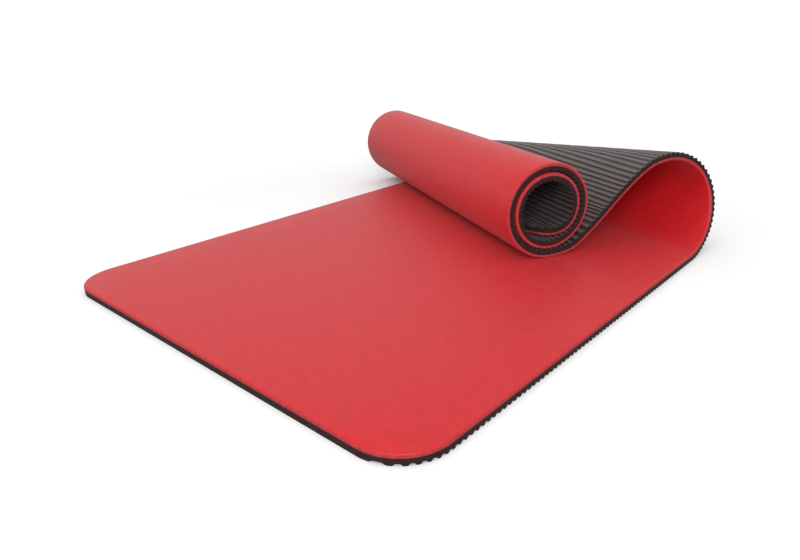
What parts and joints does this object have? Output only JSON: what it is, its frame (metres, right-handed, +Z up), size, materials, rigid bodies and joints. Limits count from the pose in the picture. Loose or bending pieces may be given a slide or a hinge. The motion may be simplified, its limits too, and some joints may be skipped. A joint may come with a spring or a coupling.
{
  "type": "roll-up gym mat",
  "caption": "Roll-up foam gym mat with a smooth top layer bonded to a ribbed base layer, one end flat and the other looped back over it into a loose roll.",
  "frame": {"origin": "on the underside, on the mat's centre line, 0.3 m from the end that lies flat", "axes": "+X along the mat from its flat end towards the loop, +Y across the mat, +Z up out of the floor"},
  "size_m": [0.8676, 0.7208, 0.147],
  "materials": {
    "top_foam": "matt",
    "base_foam": "matt, ribbed"
  },
  "bodies": {
    "flat": {"top_flat": "top_foam", "base_flat": "base_foam"},
    "loop_01": {"top_loop_01": "top_foam", "base_loop_01": "base_foam"},
    "loop_02": {"top_loop_02": "top_foam", "base_loop_02": "base_foam"},
    "loop_03": {"top_loop_03": "top_foam", "base_loop_03": "base_foam"},
    "loop_04": {"top_loop_04": "top_foam", "base_loop_04": "base_foam"},
    "loop_05": {"top_loop_05": "top_foam", "base_loop_05": "base_foam"},
    "loop_06": {"top_loop_06": "top_foam", "base_loop_06": "base_foam"},
    "loop_07": {"top_loop_07": "top_foam", "base_loop_07": "base_foam"},
    "loop_08": {"top_loop_08": "top_foam", "base_loop_08": "base_foam"},
    "landing_01": {"top_landing_01": "top_foam", "base_landing_01": "base_foam"},
    "landing_02": {"top_landing_02": "top_foam", "base_landing_02": "base_foam"},
    "roll_01": {"top_roll_01": "top_foam", "base_roll_01": "base_foam"},
    "roll_02": {"top_roll_02": "top_foam", "base_roll_02": "base_foam"},
    "roll_03": {"top_roll_03": "top_foam", "base_roll_03": "base_foam"},
    "roll_04": {"top_roll_04": "top_foam", "base_roll_04": "base_foam"},
    "roll_05": {"top_roll_05": "top_foam", "base_roll_05": "base_foam"},
    "roll_06": {"top_roll_06": "top_foam", "base_roll_06": "base_foam"},
    "roll_07": {"top_roll_07": "top_foam", "base_roll_07": "base_foam"},
    "roll_08": {"top_roll_08": "top_foam", "base_roll_08": "base_foam"},
    "roll_09": {"top_roll_09": "top_foam", "base_roll_09": "base_foam"},
    "roll_10": {"top_roll_10": "top_foam", "base_roll_10": "base_foam"},
    "roll_11": {"top_roll_11": "top_foam", "base_roll_11": "base_foam"},
    "roll_12": {"top_roll_12": "top_foam", "base_roll_12": "base_foam"},
    "roll_13": {"top_roll_13": "top_foam", "base_roll_13": "base_foam"},
    "roll_14": {"top_roll_14": "top_foam", "base_roll_14": "base_foam"},
    "roll_15": {"top_roll_15": "top_foam", "base_roll_15": "base_foam"},
    "roll_16": {"top_roll_16": "top_foam", "base_roll_16": "base_foam"},
    "roll_17": {"top_roll_17": "top_foam", "base_roll_17": "base_foam"},
    "roll_18": {"top_roll_18": "top_foam", "base_roll_18": "base_foam"}
  },
  "joints": [
    {"name": "unroll", "type": "hinge", "parent": "flat", "child": "loop_01", "pos_m": [0.31564, -0.305, 0.00575], "axis": [0.3224, 0.9466, 0], "range_deg": [0, 28.03]},
    {"name": "loop_02_bend", "type": "hinge", "parent": "loop_01", "child": "loop_02", "pos_m": [0.35756, -0.30332, 0.02659], "axis": [0.2978, 0.9545, -0.0138], "range_deg": [0, 28.04]},
    {"name": "loop_03_bend", "type": "hinge", "parent": "loop_02", "child": "loop_03", "pos_m": [0.37851, -0.2987, 0.0541], "axis": [0.2851, 0.9579, -0.0333], "range_deg": [0, 28.04]},
    {"name": "loop_04_bend", "type": "hinge", "parent": "loop_03", "child": "loop_04", "pos_m": [0.38416, -0.29053, 0.08356], "axis": [0.2826, 0.9576, -0.0555], "range_deg": [0, 28.04]},
    {"name": "loop_05_bend", "type": "hinge", "parent": "loop_04", "child": "loop_05", "pos_m": [0.37621, -0.27878, 0.11008], "axis": [0.2905, 0.9538, -0.0769], "range_deg": [0, 28.04]},
    {"name": "loop_06_bend", "type": "hinge", "parent": "loop_05", "child": "loop_06", "pos_m": [0.35647, -0.26382, 0.12887], "axis": [0.3091, 0.9464, -0.0934], "range_deg": [0, 28.04]},
    {"name": "loop_07_bend", "type": "hinge", "parent": "loop_06", "child": "loop_07", "pos_m": [0.32705, -0.24613, 0.13512], "axis": [0.3386, 0.9356, -0.0998], "range_deg": [0, 28.04]},
    {"name": "loop_08_bend", "type": "hinge", "parent": "loop_07", "child": "loop_08", "pos_m": [0.28771, -0.2248, 0.12128], "axis": [0.3847, 0.9191, -0.0853], "range_deg": [0, 28.04]},
    {"name": "landing_01_bend", "type": "hinge", "parent": "loop_08", "child": "landing_01", "pos_m": [0.20599, -0.18204, 0.02903], "axis": [-0.4636, -0.886, 0], "range_deg": [0, 22.51]},
    {"name": "landing_02_bend", "type": "hinge", "parent": "landing_01", "child": "landing_02", "pos_m": [0.18144, -0.16918, 0.01755], "axis": [-0.4636, -0.886, 0], "range_deg": [0, 22.51]},
    {"name": "roll_01_bend", "type": "hinge", "parent": "landing_02", "child": "roll_01", "pos_m": [0.14048, -0.14775, 0.01755], "axis": [-0.4636, -0.886, 0], "range_deg": [0, 40.01]},
    {"name": "roll_02_bend", "type": "hinge", "parent": "roll_01", "child": "roll_02", "pos_m": [0.10982, -0.13171, 0.04658], "axis": [-0.4636, -0.886, 0], "range_deg": [0, 40.01]},
    {"name": "roll_03_bend", "type": "hinge", "parent": "roll_02", "child": "roll_03", "pos_m": [0.10304, -0.12816, 0.09002], "axis": [-0.4636, -0.886, 0], "range_deg": [0, 40.01]},
    {"name": "roll_04_bend", "type": "hinge", "parent": "roll_03", "child": "roll_04", "pos_m": [0.1221, -0.13814, 0.12729], "axis": [-0.4636, -0.886, 0], "range_deg": [0, 40.01]},
    {"name": "roll_05_bend", "type": "hinge", "parent": "roll_04", "child": "roll_05", "pos_m": [0.15706, -0.15643, 0.14166], "axis": [-0.4636, -0.886, 0], "range_deg": [0, 40.01]},
    {"name": "roll_06_bend", "type": "hinge", "parent": "roll_05", "child": "roll_06", "pos_m": [0.19114, -0.17426, 0.12766], "axis": [-0.4636, -0.886, 0], "range_deg": [0, 40.01]},
    {"name": "roll_07_bend", "type": "hinge", "parent": "roll_06", "child": "roll_07", "pos_m": [0.2088, -0.18351, 0.09313], "axis": [-0.4636, -0.886, 0], "range_deg": [0, 40.01]},
    {"name": "roll_08_bend", "type": "hinge", "parent": "roll_07", "child": "roll_08", "pos_m": [0.20283, -0.18038, 0.05492], "axis": [-0.4636, -0.886, 0], "range_deg": [0, 40.01]},
    {"name": "roll_09_bend", "type": "hinge", "parent": "roll_08", "child": "roll_09", "pos_m": [0.17721, -0.16697, 0.03065], "axis": [-0.4636, -0.886, 0], "range_deg": [0, 40.01]},
    {"name": "roll_10_bend", "type": "hinge", "parent": "roll_09", "child": "roll_10", "pos_m": [0.1447, -0.14996, 0.03065], "axis": [-0.4636, -0.886, 0], "range_deg": [0, 40.01]},
    {"name": "roll_11_bend", "type": "hinge", "parent": "roll_10", "child": "roll_11", "pos_m": [0.12052, -0.13731, 0.05355], "axis": [-0.4636, -0.886, 0], "range_deg": [0, 40.01]},
    {"name": "roll_12_bend", "type": "hinge", "parent": "roll_11", "child": "roll_12", "pos_m": [0.1152, -0.13453, 0.0876], "axis": [-0.4636, -0.886, 0], "range_deg": [0, 40.01]},
    {"name": "roll_13_bend", "type": "hinge", "parent": "roll_12", "child": "roll_13", "pos_m": [0.13004, -0.14229, 0.11662], "axis": [-0.4636, -0.886, 0], "range_deg": [0, 40.01]},
    {"name": "roll_14_bend", "type": "hinge", "parent": "roll_13", "child": "roll_14", "pos_m": [0.15706, -0.15643, 0.12772], "axis": [-0.4636, -0.886, 0], "range_deg": [0, 40.01]},
    {"name": "roll_15_bend", "type": "hinge", "parent": "roll_14", "child": "roll_15", "pos_m": [0.1832, -0.17011, 0.11698], "axis": [-0.4636, -0.886, 0], "range_deg": [0, 40.01]},
    {"name": "roll_16_bend", "type": "hinge", "parent": "roll_15", "child": "roll_16", "pos_m": [0.19664, -0.17714, 0.09071], "axis": [-0.4636, -0.886, 0], "range_deg": [0, 40.01]},
    {"name": "roll_17_bend", "type": "hinge", "parent": "roll_16", "child": "roll_17", "pos_m": [0.19213, -0.17478, 0.06189], "axis": [-0.4636, -0.886, 0], "range_deg": [0, 40.01]},
    {"name": "roll_18_bend", "type": "hinge", "parent": "roll_17", "child": "roll_18", "pos_m": [0.17299, -0.16476, 0.04375], "axis": [-0.4636, -0.886, 0], "range_deg": [0, 40.01]}
  ],
  "couplings": [
    {"joint": "loop_02_bend", "follows": "unroll", "ratio": 1},
    {"joint": "loop_03_bend", "follows": "unroll", "ratio": 1},
    {"joint": "loop_04_bend", "follows": "unroll", "ratio": 1},
    {"joint": "loop_05_bend", "follows": "unroll", "ratio": 1},
    {"joint": "loop_06_bend", "follows": "unroll", "ratio": 1},
    {"joint": "loop_07_bend", "follows": "unroll", "ratio": 1},
    {"joint": "loop_08_bend", "follows": "unroll", "ratio": 1},
    {"joint": "landing_01_bend", "follows": "unroll", "ratio": 0.80264},
    {"joint": "landing_02_bend", "follows": "unroll", "ratio": 0.80264},
    {"joint": "roll_01_bend", "follows": "unroll", "ratio": 1.4269},
    {"joint": "roll_02_bend", "follows": "unroll", "ratio": 1.4269},
    {"joint": "roll_03_bend", "follows": "unroll", "ratio": 1.4269},
    {"joint": "roll_04_bend", "follows": "unroll", "ratio": 1.4269},
    {"joint": "roll_05_bend", "follows": "unroll", "ratio": 1.4269},
    {"joint": "roll_06_bend", "follows": "unroll", "ratio": 1.4269},
    {"joint": "roll_07_bend", "follows": "unroll", "ratio": 1.4269},
    {"joint": "roll_08_bend", "follows": "unroll", "ratio": 1.4269},
    {"joint": "roll_09_bend", "follows": "unroll", "ratio": 1.4269},
    {"joint": "roll_10_bend", "follows": "unroll", "ratio": 1.4269},
    {"joint": "roll_11_bend", "follows": "unroll", "ratio": 1.4269},
    {"joint": "roll_12_bend", "follows": "unroll", "ratio": 1.4269},
    {"joint": "roll_13_bend", "follows": "unroll", "ratio": 1.4269},
    {"joint": "roll_14_bend", "follows": "unroll", "ratio": 1.4269},
    {"joint": "roll_15_bend", "follows": "unroll", "ratio": 1.4269},
    {"joint": "roll_16_bend", "follows": "unroll", "ratio": 1.4269},
    {"joint": "roll_17_bend", "follows": "unroll", "ratio": 1.4269},
    {"joint": "roll_18_bend", "follows": "unroll", "ratio": 1.4269}
  ]
}
